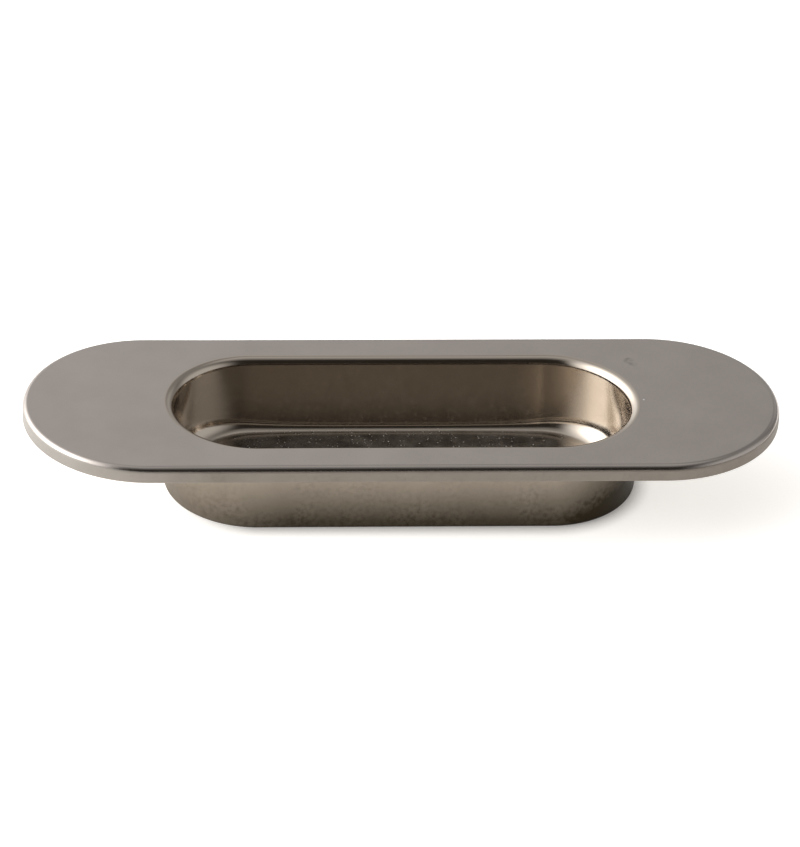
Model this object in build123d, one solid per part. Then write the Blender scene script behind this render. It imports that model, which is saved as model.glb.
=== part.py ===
from build123d import *
import os

# Recessed pull handle: one cast and plated piece, an obround plate round an obround finger recess.
# The cup behind the plate drops into a pocket cut in a door or drawer front, and the back of the
# plate, the seat, lies on the face round that pocket.
#
# Frame: millimetres. +Z points out of the door towards the hand, +X along the plate.
# The origin is the centre of the seat plane, so z = 0 is the face of the door.

# Plate
PLATE_LENGTH = 120.0
PLATE_WIDTH = 39.5
PLATE_THICKNESS = 2.7
PLATE_EDGE_RADIUS = 1.1      # polished round along the front edge
SEAT_EDGE_BREAK = 0.25       # small round along the edge that meets the door

# Finger recess
RECESS_LENGTH = 72.2         # between the straight walls, below the rounded mouth
RECESS_WIDTH = 25.8
RECESS_DEPTH = 13.2          # from the front of the plate down to the floor
MOUTH_RADIUS = 1.2           # lip that rolls from the plate into the recess
FLOOR_RADIUS = 2.0           # hollow curve where the wall runs into the floor

# Cup, the casting behind the plate that carries the recess
WALL_THICKNESS = 1.5
FLOOR_THICKNESS = 1.5
CUP_BASE_RADIUS = 0.8        # round along the bottom edge, so that the cup enters its pocket
CUP_ROOT_RADIUS = 0.4        # casting fillet where the cup leaves the seat

CUP_LENGTH = RECESS_LENGTH + 2 * WALL_THICKNESS
CUP_WIDTH = RECESS_WIDTH + 2 * WALL_THICKNESS
RECESS_FLOOR_Z = PLATE_THICKNESS - RECESS_DEPTH
CUP_BASE_Z = RECESS_FLOOR_Z - FLOOR_THICKNESS


def obround(length, width, bottom, top):
    """Upright block with straight sides and half-round ends, between two heights."""
    outline = Plane.XY.offset(bottom) * SlotOverall(length, width)
    return extrude(outline, top - bottom)


def flat_faces(solid):
    """The level faces, from the base up to the front."""
    return solid.faces().filter_by(Plane.XY).sort_by(Axis.Z)


def plate():
    """Flat obround plate, rounded in front and with its back edge broken."""
    blank = obround(PLATE_LENGTH, PLATE_WIDTH, 0, PLATE_THICKNESS)
    rounded = fillet(flat_faces(blank)[-1].edges(), PLATE_EDGE_RADIUS)
    return fillet(flat_faces(rounded)[0].edges(), SEAT_EDGE_BREAK)


def cup():
    """Obround boss that hangs behind the plate, still solid, rounded along its base."""
    boss = obround(CUP_LENGTH, CUP_WIDTH, CUP_BASE_Z, PLATE_THICKNESS / 2)
    return fillet(flat_faces(boss)[0].edges(), CUP_BASE_RADIUS)


def recess():
    """The space for the fingers: straight walls that run into the floor in a hollow curve."""
    space = obround(RECESS_LENGTH, RECESS_WIDTH, RECESS_FLOOR_Z, PLATE_THICKNESS)
    return fillet(flat_faces(space)[0].edges(), FLOOR_RADIUS)


def round_mouth(casting):
    """Roll the lip of the recess over from the front of the plate."""
    lip = flat_faces(casting)[-1].inner_wires()[0]
    return fillet(lip.edges(), MOUTH_RADIUS)


def fillet_root(casting):
    """Blend the cup's wall into the seat, the level face next below the front."""
    root = flat_faces(casting)[-2].inner_wires()[0]
    return fillet(root.edges(), CUP_ROOT_RADIUS)


def recessed_pull():
    """The whole handle as one solid."""
    casting = plate() + cup() - recess()
    return fillet_root(round_mouth(casting))


os.makedirs("parts", exist_ok=True)
pull = recessed_pull()
pull.label = "recessed_pull"
export_step(pull, "parts/recessed_pull.step")
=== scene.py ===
import math

import bpy
from mathutils import Euler, Matrix, Vector

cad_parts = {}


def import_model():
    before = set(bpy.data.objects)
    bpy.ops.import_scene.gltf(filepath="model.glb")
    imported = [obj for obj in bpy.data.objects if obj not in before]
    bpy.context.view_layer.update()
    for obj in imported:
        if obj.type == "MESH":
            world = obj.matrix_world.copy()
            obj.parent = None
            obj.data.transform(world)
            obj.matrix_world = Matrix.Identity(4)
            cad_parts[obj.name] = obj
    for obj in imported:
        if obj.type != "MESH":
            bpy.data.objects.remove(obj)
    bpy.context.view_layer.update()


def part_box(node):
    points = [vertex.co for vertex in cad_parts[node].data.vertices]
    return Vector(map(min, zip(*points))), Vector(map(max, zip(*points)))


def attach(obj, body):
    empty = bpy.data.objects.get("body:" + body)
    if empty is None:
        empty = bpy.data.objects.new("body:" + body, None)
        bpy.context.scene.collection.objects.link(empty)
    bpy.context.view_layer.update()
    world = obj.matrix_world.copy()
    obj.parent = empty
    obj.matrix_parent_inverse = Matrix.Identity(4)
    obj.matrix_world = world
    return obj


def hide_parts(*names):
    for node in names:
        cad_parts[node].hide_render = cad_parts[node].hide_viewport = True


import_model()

NODE = "recessed_pull"
MM = 0.001

# Section of the casting. Its outer sizes come from the frame.
PLATE_THICKNESS = 2.7 * MM
PLATE_EDGE_RADIUS = 1.1 * MM
SEAT_EDGE_BREAK = 0.25 * MM
RECESS_LENGTH = 72.2 * MM
RECESS_WIDTH = 25.8 * MM
RECESS_DEPTH = 13.2 * MM
MOUTH_RADIUS = 1.2 * MM
WALL_THICKNESS = 1.5 * MM
CUP_BASE_RADIUS = 0.8 * MM
CUP_ROOT_RADIUS = 0.4 * MM

# Three curves change along the handle, where the solid carries one radius for each. The front edge of
# the plate is sharper at its left end, and reaches the full radius a short way in.
LEFT_EDGE_RADIUS = 0.8 * MM
LEFT_EDGE_REACH = 30 * MM

# The hollow curve round the recess floor is close along the middle and opens out round the ends, and
# so does the lip round the mouth.
HOLLOW_MIDDLE = 1.3 * MM
HOLLOW_ENDS = 5.4 * MM
LIP_ENDS = 1.6 * MM
OPENING = 4              # how late they open out: the power of the way to the end

low, high = (Vector(corner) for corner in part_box(NODE))
FRONT_Z = high.z
BASE_Z = low.z
SEAT_Z = FRONT_Z - PLATE_THICKNESS
FLOOR_Z = FRONT_Z - RECESS_DEPTH

# Length and width of the three obrounds that the casting is made of
PLATE = (high.x - low.x, high.y - low.y)
RECESS = (RECESS_LENGTH, RECESS_WIDTH)
CUP = (RECESS_LENGTH + 2 * WALL_THICKNESS, RECESS_WIDTH + 2 * WALL_THICKNESS)

# Fineness of the mesh
END_STEPS = 96           # faces round each half-round end
SIDE_STEPS = 24          # faces along each straight side
ARC_STEPS = 10           # faces across each rounded edge
EDGE_SPLIT = 25          # angle on the front edge where the polish ends and the plain side begins


# ---------------------------------------------------------------- the casting

def opened(x, middle, ends):
    """A radius that opens out from the middle of the recess to its ends, by the place along the handle."""
    way = abs(x) / (RECESS_LENGTH / 2)
    return middle + (ends - middle) * way ** OPENING


def hollow_radius(x):
    """Radius of the curve between wall and floor."""
    return opened(x, HOLLOW_MIDDLE, HOLLOW_ENDS)


def lip_radius(x):
    """Radius of the lip between wall and plate."""
    return opened(x, MOUTH_RADIUS, LIP_ENDS)


def edge_radius(x):
    """Radius along the front edge of the plate."""
    way = min(1, (x + PLATE[0] / 2) / LEFT_EDGE_REACH)
    return LEFT_EDGE_RADIUS + (PLATE_EDGE_RADIUS - LEFT_EDGE_RADIUS) * way


def walk(obround):
    """Points round an obround's line, each with the direction that points out of it."""
    radius = obround[1] / 2
    reach = obround[0] / 2 - radius
    centres = []
    # Each half is a half-round end and the straight side that follows it.
    for end, start in ((1, -90), (-1, 90)):
        for step in range(END_STEPS):
            angle = math.radians(start + 180 * step / END_STEPS)
            centres.append((end * reach, Vector((math.cos(angle), math.sin(angle), 0))))
        for step in range(SIDE_STEPS):
            centres.append((end * reach * (1 - 2 * step / SIDE_STEPS), Vector((0, end, 0))))
    return [(Vector((x, 0, 0)) + out * radius, out) for x, out in centres]


def curve(obround, corner_z, radius, aside, above, start, stop, hollow=False):
    """Rings of points and normals across one rounded corner, which would be sharp at the obround's line
    and corner_z. The radius is one size, or a function of the place along the handle. The curve's centre
    lies a radius aside, -1 inwards, and a radius above. Angles are in degrees, 0 away from the middle of
    the handle and 90 up. Where the corner is hollow, its surface faces the centre of the curve."""
    rings = []
    side = -1 if hollow else 1
    for step in range(ARC_STEPS + 1):
        angle = math.radians(start + (stop - start) * step / ARC_STEPS)
        ring = []
        for point, out in walk(obround):
            size = radius(point.x) if callable(radius) else radius
            outward = size * (aside + math.cos(angle))
            rise = corner_z + size * (above + math.sin(angle))
            normal = (out * math.cos(angle) + Vector((0, 0, math.sin(angle)))) * side
            ring.append((point + out * outward + Vector((0, 0, rise)), normal))
        rings.append(ring)
    return rings


def casting():
    """One closed mesh, from the recess floor up its wall, over the lip and the plate, and down the cup,
    with the normals of its curves and a finish for each stretch of its surface."""
    stretches = (
        (curve(RECESS, FLOOR_Z, hollow_radius, -1, 1, -90, 0, hollow=True), recess_finish),
        (curve(RECESS, FRONT_Z, lip_radius, 1, -1, 180, 90), recess_finish),
        (curve(PLATE, FRONT_Z, edge_radius, -1, -1, 90, EDGE_SPLIT), plate_finish),
        (curve(PLATE, FRONT_Z, edge_radius, -1, -1, EDGE_SPLIT, 0), back_finish),
        (curve(PLATE, SEAT_Z, SEAT_EDGE_BREAK, -1, 1, 0, -90), back_finish),
        (curve(CUP, SEAT_Z, CUP_ROOT_RADIUS, 1, -1, 90, 180, hollow=True), back_finish),
        (curve(CUP, BASE_Z, CUP_BASE_RADIUS, -1, 1, 0, -90), back_finish),
    )
    finishes = (recess_finish, plate_finish, back_finish)
    rings = [ring for curved, _ in stretches for ring in curved]
    # The flat or straight face before each curve has that curve's finish.
    looks = [finishes.index(finish) for curved, finish in stretches for _ in curved]
    count = len(rings[0])
    recess_floor = list(range(count))
    faces, slots = [recess_floor], [looks[0]]
    for ring in range(len(rings) - 1):
        start, above = ring * count, (ring + 1) * count
        for i in range(count):
            j = (i + 1) % count
            faces.append((start + i, above + i, above + j, start + j))
            slots.append(looks[ring + 1])
    last = (len(rings) - 1) * count
    base = [last + i for i in reversed(range(count))]
    faces.append(base)
    slots.append(looks[-1])
    mesh = bpy.data.meshes.new("pull_casting")
    mesh.from_pydata([point for ring in rings for point, _ in ring], [], faces)
    mesh.polygons.foreach_set("use_smooth", [True] * len(faces))
    mesh.normals_split_custom_set_from_vertices([normal for ring in rings for _, normal in ring])
    for finish in finishes:
        mesh.materials.append(finish())
    mesh.polygons.foreach_set("material_index", slots)
    body = bpy.data.objects.new("pull_casting", mesh)
    bpy.context.scene.collection.objects.link(body)
    return body


# ---------------------------------------------------------------- building blocks of the finishes

CLOUD_LEAST = 0.3        # cloudy noise keeps mostly between these two values
CLOUD_MOST = 0.7
SPOT_CORE = 0.6          # the share of a spot's radius within which it is full


def node(tree, kind, inputs=None, **settings):
    """A new node, with its settings, and a value or another node's output for each input named."""
    made = tree.nodes.new("ShaderNode" + kind)
    for name, value in settings.items():
        setattr(made, name, value)
    for name, value in (inputs or {}).items():
        if isinstance(value, bpy.types.NodeSocket):
            tree.links.new(value, made.inputs[name])
        else:
            made.inputs[name].default_value = value
    return made


def math_node(tree, operation, first, second=0.0, clamp=False):
    """The result of one sum on one or two values."""
    made = node(tree, "Math", {0: first, 1: second}, operation=operation, use_clamp=clamp)
    return made.outputs["Value"]


def times(tree, first, second):
    """The product of two values."""
    return math_node(tree, "MULTIPLY", first, second)


def most(tree, first, second):
    """The larger of two values."""
    return math_node(tree, "MAXIMUM", first, second)


def ramp(tree, value, start, stop, low_end, high_end):
    """A value mapped from one range to another, and held at its ends."""
    spread = {"Value": value, "From Min": start, "From Max": stop, "To Min": low_end, "To Max": high_end}
    return node(tree, "MapRange", spread).outputs["Result"]


def fade(tree, value, none, full):
    """0 where a value is at none or beyond, 1 where it is at full or beyond."""
    return ramp(tree, value, none, full, 0.0, 1.0)


def blend(tree, factor, first, second):
    """A colour between two others."""
    return node(tree, "Mix", {0: factor, 6: first, 7: second}, data_type="RGBA").outputs[2]


def mottle(tree, place, size, stretch=(1, 1, 1), detail=3.0):
    """Cloudy noise from 0 to 1, with clouds of about one size in metres."""
    scaled = node(tree, "Mapping", {"Vector": place, "Scale": stretch}).outputs["Vector"]
    return node(tree, "TexNoise", {"Vector": scaled, "Scale": 1 / size, "Detail": detail}).outputs["Fac"]


def clouds(tree, place, size, least, greatest):
    """A value that drifts from one to another in soft clouds of about one size in metres."""
    return ramp(tree, mottle(tree, place, size), CLOUD_LEAST, CLOUD_MOST, least, greatest)


def spots(tree, place, centres, size):
    """1 on small round marks of one radius, 0 away from them, with soft edges."""
    total = 0.0
    for centre in centres:
        apart = node(tree, "VectorMath", {0: place, 1: centre}, operation="DISTANCE").outputs["Value"]
        total = most(tree, total, fade(tree, apart, size, SPOT_CORE * size))
    return total


def metal(name, colour):
    """A metal with its shader, its node tree and the place of each point in the handle's own frame."""
    material = bpy.data.materials.new(name)
    material.use_nodes = True
    tree = material.node_tree
    shader = tree.nodes["Principled BSDF"]
    shader.inputs["Metallic"].default_value = 1.0
    shader.inputs["Base Color"].default_value = colour
    place = node(tree, "TexCoord").outputs["Object"]
    return material, tree, shader, place


def roughen(tree, shader, roughness, grain, depth):
    """Links a roughness and a grain of some depth in metres to the shader."""
    tree.links.new(roughness, shader.inputs["Roughness"])
    bump = node(tree, "Bump", {"Height": grain, "Strength": 1.0, "Distance": depth})
    tree.links.new(bump.outputs["Normal"], shader.inputs["Normal"])


# ---------------------------------------------------------------- plate

SATIN_NICKEL = (0.42, 0.38, 0.352, 1.0)
DARK_NICKEL = (0.03, 0.023, 0.013, 1.0)      # what smudges, stains and shade darken each finish to
LINT_COLOUR = (0.9, 0.9, 0.88, 1.0)

HANDLED_SIZE = 9 * MM                        # clouds left by handling, and how much darker they are
HANDLED_TINT = 0.08
SATIN_ROUGHNESS = (0.2, 0.24)
SATIN_GRAIN = 0.3 * MM
SATIN_GRAIN_DEPTH = 0.0006 * MM
DRAWN = (0.25, 1, 1)                         # the grain is four times as long along the handle

# Small marks by the right end of the recess: a dot of lint and a faint, broken smudge
LINT = ((38.4 * MM, 0.2 * MM, FRONT_Z),)
LINT_RADIUS = 0.17 * MM
SMUDGE = ((37.2 * MM, 12.2 * MM, FRONT_Z), (37.9 * MM, 11.4 * MM, FRONT_Z))
SMUDGE_RADIUS = 1.0 * MM
SMUDGE_BREAKS = 1.6 * MM
SMUDGE_EDGE = (0.4, 0.6)                     # from which noise to which it fades in
SMUDGE_TINT = 0.35


def plate_finish():
    """Satin plate: a fine grain drawn along the handle, faint clouds from handling, and small marks."""
    material, tree, shader, place = metal("satin_nickel_plate", SATIN_NICKEL)
    handled = clouds(tree, place, HANDLED_SIZE, 0.0, 1.0)
    satin = blend(tree, times(tree, handled, HANDLED_TINT), SATIN_NICKEL, DARK_NICKEL)
    broken = ramp(tree, mottle(tree, place, SMUDGE_BREAKS), *SMUDGE_EDGE, 0.0, SMUDGE_TINT)
    smudge = times(tree, spots(tree, place, SMUDGE, SMUDGE_RADIUS), broken)
    smudged = blend(tree, smudge, satin, DARK_NICKEL)
    lint = spots(tree, place, LINT, LINT_RADIUS)
    tree.links.new(blend(tree, lint, smudged, LINT_COLOUR), shader.inputs["Base Color"])
    grain = mottle(tree, place, SATIN_GRAIN, stretch=DRAWN, detail=2.0)
    roughen(tree, shader, ramp(tree, handled, 0.0, 1.0, *SATIN_ROUGHNESS), grain, SATIN_GRAIN_DEPTH)
    return material


# ---------------------------------------------------------------- recess

BRIGHT_NICKEL = (0.44, 0.39, 0.335, 1.0)
DUST = (0.42, 0.41, 0.37, 1.0)

WIPED_SIZE = 6 * MM                          # clouds in the polish, and how rough it is in them
BRIGHT_ROUGHNESS = (0.14, 0.18)
BRIGHT_GRAIN = 0.35 * MM
BRIGHT_GRAIN_DEPTH = 0.0001 * MM

# Dust: how high above the recess floor and how far from its middle it ends, and where it is full
DUST_RISE = (0.5 * MM, 0.05 * MM)
DUST_REACH = (29 * MM, 24 * MM)
DUST_ROUGHNESS = 0.6
SPECK_APART = 0.55 * MM
SPECK_EDGE = (0.28, 0.12)                    # where a speck ends and where it is full, as shares of that
DRIFT_SIZE = 1.2 * MM                        # the specks lie in drifts, which fade in with noise
DRIFT_EDGE = (0.46, 0.62)
FILM_SIZE = 2.5 * MM                         # a thin film between them, and how thick it is
FILM = (0.05, 0.17)

# Lint on the right end wall
WALL_LINT = (
    (28.2 * MM, 12.2 * MM, -3.1 * MM),
    (27.2 * MM, 12.5 * MM, -2.4 * MM),
    (29.0 * MM, 11.8 * MM, -3.9 * MM),
)
WALL_LINT_RADIUS = 0.16 * MM


def recess_finish():
    """Polished recess, with dust on the middle of its floor."""
    material, tree, shader, place = metal("polished_nickel_recess", BRIGHT_NICKEL)
    apart = node(tree, "SeparateXYZ", {"Vector": place}).outputs
    on_floor = fade(tree, apart["Z"], *(FLOOR_Z + rise for rise in DUST_RISE))
    in_middle = fade(tree, math_node(tree, "ABSOLUTE", apart["X"]), *DUST_REACH)
    dusty = times(tree, on_floor, in_middle)
    cells = node(tree, "TexVoronoi", {"Vector": place, "Scale": 1 / SPECK_APART})
    speck = fade(tree, cells.outputs["Distance"], *SPECK_EDGE)
    drift = fade(tree, mottle(tree, place, DRIFT_SIZE), *DRIFT_EDGE)
    specks = times(tree, times(tree, speck, drift), dusty)
    film = times(tree, clouds(tree, place, FILM_SIZE, *FILM), dusty)
    lint = spots(tree, place, WALL_LINT, WALL_LINT_RADIUS)
    dust = most(tree, most(tree, specks, film), lint)
    tree.links.new(blend(tree, dust, BRIGHT_NICKEL, DUST), shader.inputs["Base Color"])
    tree.links.new(ramp(tree, dust, 0.0, 1.0, 1.0, 0.0), shader.inputs["Metallic"])
    wiped = clouds(tree, place, WIPED_SIZE, *BRIGHT_ROUGHNESS)
    rough = node(tree, "Mix", {0: dust, 2: wiped, 3: DUST_ROUGHNESS}, data_type="FLOAT").outputs[0]
    grain = mottle(tree, place, BRIGHT_GRAIN, detail=2.0)
    roughen(tree, shader, rough, grain, BRIGHT_GRAIN_DEPTH)
    return material


# ---------------------------------------------------------------- side, seat and cup

SIDE_NICKEL = (0.21, 0.186, 0.16, 1.0)       # the side of the plate and the seat
# Painted light: the left end of the side is painted lighter, where the bright window and table on the left
# are mirrored in it.
LEFT_LIT_NICKEL = (0.34, 0.32, 0.295, 1.0)       # the same at the left end, painted lighter
LEFT_STOP = -30 * MM                         # where the one has run into the other
CUP_NICKEL = (0.345, 0.298, 0.244, 1.0)      # the cup
CUP_MARGIN = 0.3 * MM                        # how far either side of the seat the one runs into the other

# Shade that is painted on the cup and stays there in any light. It deepens from just below the seat to
# just above the base, and less at the left end.
DARK_START = SEAT_Z - 0.5 * MM
DARK_FULL = BASE_Z + 1.5 * MM
DARKEST = 0.9
DARK_LEFT = 0.55
DARK_LEFT_STOP = -18 * MM
BASE_SHARE = 0.4                             # how much of that there is on the base itself
BASE_RISE = (0.1 * MM, 0.01 * MM)            # and the heights above it between which that changes
DARK_RIGHT = 0.45                            # and more of it on the right end of the cup
DARK_RIGHT_START = 24 * MM

SMEAR_SIZE = 0.8 * MM                        # smears, lighter and darker, where the casting is stained
SMEAR_EDGE = (0.42, 0.7)
SMEAR_TINT = (-0.04, 0.1)
STAIN_SIZE = 6.0 * MM
STAIN_EDGE = (0.4, 0.65)
STAIN_LEAST = 0.2

DULL_SIZE = 3.5 * MM
DULL_ROUGHNESS = (0.46, 0.54)
DULL_GRAIN = 0.5 * MM
DULL_GRAIN_DEPTH = 0.003 * MM


def back_finish():
    """The side of the plate, the seat and the cup: dull and smeared, with shade painted down the cup and
    on its right end, and light painted on the left end of the side."""
    material, tree, shader, place = metal("dull_nickel_back", SIDE_NICKEL)
    apart = node(tree, "SeparateXYZ", {"Vector": place}).outputs
    along, height = apart["X"], apart["Z"]
    on_cup = fade(tree, height, SEAT_Z + CUP_MARGIN, SEAT_Z - CUP_MARGIN)
    down = ramp(tree, height, DARK_START, DARK_FULL, 0.0, DARKEST)
    across = ramp(tree, along, -CUP[0] / 2, DARK_LEFT_STOP, DARK_LEFT, 1.0)
    beneath = ramp(tree, height, *(BASE_Z + rise for rise in BASE_RISE), 1.0, BASE_SHARE)
    dark = times(tree, times(tree, down, across), beneath)
    right_end = times(tree, ramp(tree, along, DARK_RIGHT_START, CUP[0] / 2, 0.0, DARK_RIGHT), on_cup)
    smears = ramp(tree, mottle(tree, place, SMEAR_SIZE, detail=6.0), *SMEAR_EDGE, *SMEAR_TINT)
    stains = ramp(tree, mottle(tree, place, STAIN_SIZE), *STAIN_EDGE, STAIN_LEAST, 1.0)
    marks = times(tree, smears, stains)
    depth = math_node(tree, "ADD", math_node(tree, "ADD", dark, right_end), marks, clamp=True)
    # Painted light on the left end of the side and seat
    side = blend(tree, fade(tree, along, low.x, LEFT_STOP), LEFT_LIT_NICKEL, SIDE_NICKEL)
    plated = blend(tree, on_cup, side, CUP_NICKEL)
    tree.links.new(blend(tree, depth, plated, DARK_NICKEL), shader.inputs["Base Color"])
    grain = mottle(tree, place, DULL_GRAIN, detail=4.0)
    roughen(tree, shader, clouds(tree, place, DULL_SIZE, *DULL_ROUGHNESS), grain, DULL_GRAIN_DEPTH)
    return material


# ---------------------------------------------------------------- table

FLOOR_SIZE = 60.0        # metres each way
FLOOR_GAP = 0.02 * MM    # keeps the table just clear of the base
LIT_GREY = 0.8           # how pale the table is in the light that it throws back
SEEN_GREY = 0.75         # and to the eye and in the metal, where a glow is added

# The glow of the overexposed table on the left, nearer the window, and on the right, and from where to
# where the one runs into the other
GLOW_LEFT = 1.0
GLOW_RIGHT = 0.66
GLOW_START = -70 * MM
GLOW_STOP = 50 * MM
GLOW_COLOUR = (1.0, 0.97, 0.93, 1.0)

# Painted contact shadow: the glow is dimmed close to where the handle stands, except round the left end of
# the cup
CONTACT_REACH = 3 * MM
CONTACT_GLOW = 0.35
CONTACT_LEFT = -37 * MM
CONTACT_FULL = -24 * MM
OPEN_LEAST = 0.5         # how open a spot of the table is to the room where it is dimmed in full
OPEN_SAMPLES = 8


def grey(level):
    """An opaque grey."""
    return (level, level, level, 1)


def floor():
    """White table: overexposed to the eye and in the metal, with a soft shadow left and a painted contact
    shadow by the handle, and plain otherwise.
    """
    bpy.ops.mesh.primitive_plane_add(size=FLOOR_SIZE, location=(0, 0, BASE_Z - FLOOR_GAP))
    ground = bpy.context.object
    ground.name = "studio_floor"
    material = bpy.data.materials.new("pale_floor")
    material.use_nodes = True
    tree = material.node_tree
    tree.nodes.clear()
    path = node(tree, "LightPath").outputs
    mirrored = math_node(tree, "ADD", path["Is Camera Ray"], path["Is Glossy Ray"])
    seen = math_node(tree, "ADD", mirrored, path["Is Transmission Ray"], clamp=True)
    colour = blend(tree, seen, grey(LIT_GREY), grey(SEEN_GREY))
    lit = node(tree, "BsdfDiffuse", {"Color": colour}).outputs["BSDF"]
    along = node(tree, "SeparateXYZ", {"Vector": node(tree, "TexCoord").outputs["Object"]}).outputs["X"]
    table = times(tree, seen, ramp(tree, along, GLOW_START, GLOW_STOP, GLOW_LEFT, GLOW_RIGHT))
    # Painted contact shadow: the glow dims where the table is closed in by the handle.
    clear = node(tree, "AmbientOcclusion", {"Distance": CONTACT_REACH}, samples=OPEN_SAMPLES).outputs["AO"]
    least = ramp(tree, along, CONTACT_LEFT, CONTACT_FULL, 1.0, CONTACT_GLOW)
    dimmed = times(tree, table, ramp(tree, clear, OPEN_LEAST, 1.0, least, 1.0))
    glow = node(tree, "Emission", {"Color": GLOW_COLOUR, "Strength": dimmed}).outputs["Emission"]
    total = node(tree, "AddShader", {0: lit, 1: glow}).outputs["Shader"]
    # Seen from below, the table is clear, so that the back of the handle shows.
    below = node(tree, "NewGeometry").outputs["Backfacing"]
    through = node(tree, "BsdfTransparent").outputs["BSDF"]
    surface = node(tree, "MixShader", {0: below, 1: total, 2: through}).outputs["Shader"]
    node(tree, "OutputMaterial", {"Surface": surface})
    ground.data.materials.append(material)


# ---------------------------------------------------------------- light

# The light that reaches the handle from round it: where the middle of each glow stands, as an angle about
# +Z from +X and a height, how far from its middle it is full and where it has faded out, in degrees, and
# how bright it is. It suits the view from the front. From the right the plate mirrors the left window and
# is overexposed, and from behind it mirrors the dark side of the room.
GLOWS = {
    "left_window": (177, 16, 5, 66, 3.2),
    "window_middle": (176, 31, 8, 34, 1.5),
    "right_reflector": (346, 12, 10, 55, 0.78),
    "wall_behind": (86, 51, 30, 54, 0.33),
    "wall_by_window": (112, 30, 5, 38, 0.5),
    "window_side": (125, 12, 5, 36, 1.0),
    "corner_behind": (56, 4, 10, 33, 0.32),
    "ceiling": (0, 90, 10, 38, 0.34),
}
ROOM_LIGHT = 0.036
ROOM_COLOUR = (1.0, 0.84, 0.68, 1.0)


def direction(azimuth, elevation):
    """The direction at an angle about +Z from +X and a height, both in degrees."""
    a, e = math.radians(azimuth), math.radians(elevation)
    return Vector((math.cos(a) * math.cos(e), math.sin(a) * math.cos(e), math.sin(e)))


def world():
    """A dim, warm room with soft white glows, the broadest and brightest of them on the left."""
    bpy.context.scene.world = bpy.data.worlds.new("studio")
    bpy.context.scene.world.use_nodes = True
    tree = bpy.context.scene.world.node_tree
    around = node(tree, "TexCoord").outputs["Generated"]
    total = 0.0
    for azimuth, elevation, full, faded, strength in GLOWS.values():
        aim = {0: around, 1: direction(azimuth, elevation)}
        nearness = node(tree, "VectorMath", aim, operation="DOT_PRODUCT").outputs["Value"]
        edges = {"Value": nearness, "From Min": math.cos(math.radians(faded)),
                 "From Max": math.cos(math.radians(full)), "To Min": 0.0, "To Max": strength}
        glow = node(tree, "MapRange", edges, interpolation_type="SMOOTHSTEP").outputs["Result"]
        total = math_node(tree, "ADD", total, glow)
    glows = tree.nodes["Background"]
    glows.inputs["Color"].default_value = (1, 1, 1, 1)
    tree.links.new(total, glows.inputs["Strength"])
    room = node(tree, "Background", {"Color": ROOM_COLOUR, "Strength": ROOM_LIGHT}).outputs["Background"]
    both = node(tree, "AddShader", {0: glows.outputs["Background"], 1: room}).outputs["Shader"]
    tree.links.new(both, tree.nodes["World Output"].inputs["Surface"])


# ---------------------------------------------------------------- camera

# Angles in degrees
CAMERA_AZIMUTH = -5.0    # 0 looks along +Y
CAMERA_ELEVATION = 31.52
CAMERA_ROLL = 2.42
CAMERA_DROP = 0.236      # how far the view is aimed below the middle of the plate
CAMERA_ASIDE = 0.027     # and how far to its left
CAMERA_DISTANCE = 860 * MM
CAMERA_NEAR = 10 * MM
LENS = 231.1             # focal length and sensor width, in the millimetres that a camera takes
SENSOR = 36.0


def camera():
    """A long lens that looks down on the middle of the plate."""
    data = bpy.data.cameras.new("camera")
    data.sensor_width = SENSOR
    data.lens = LENS
    data.clip_start = CAMERA_NEAR
    eye = bpy.data.objects.new("camera", data)
    bpy.context.scene.collection.objects.link(eye)
    back = direction(CAMERA_AZIMUTH - 90, CAMERA_ELEVATION)
    look = back.to_track_quat("Z", "Y").to_matrix().to_4x4()
    angles = (math.radians(-CAMERA_DROP), math.radians(CAMERA_ASIDE), math.radians(CAMERA_ROLL))
    turn = Euler(angles).to_matrix().to_4x4()
    eye.matrix_world = Matrix.Translation(Vector((0, 0, FRONT_Z)) + back * CAMERA_DISTANCE) @ look @ turn
    bpy.context.scene.camera = eye


# ---------------------------------------------------------------- the scene

pull = casting()
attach(pull, "root")
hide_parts(NODE)

floor()
world()
camera()
bpy.context.scene.view_settings.view_transform = "Standard"
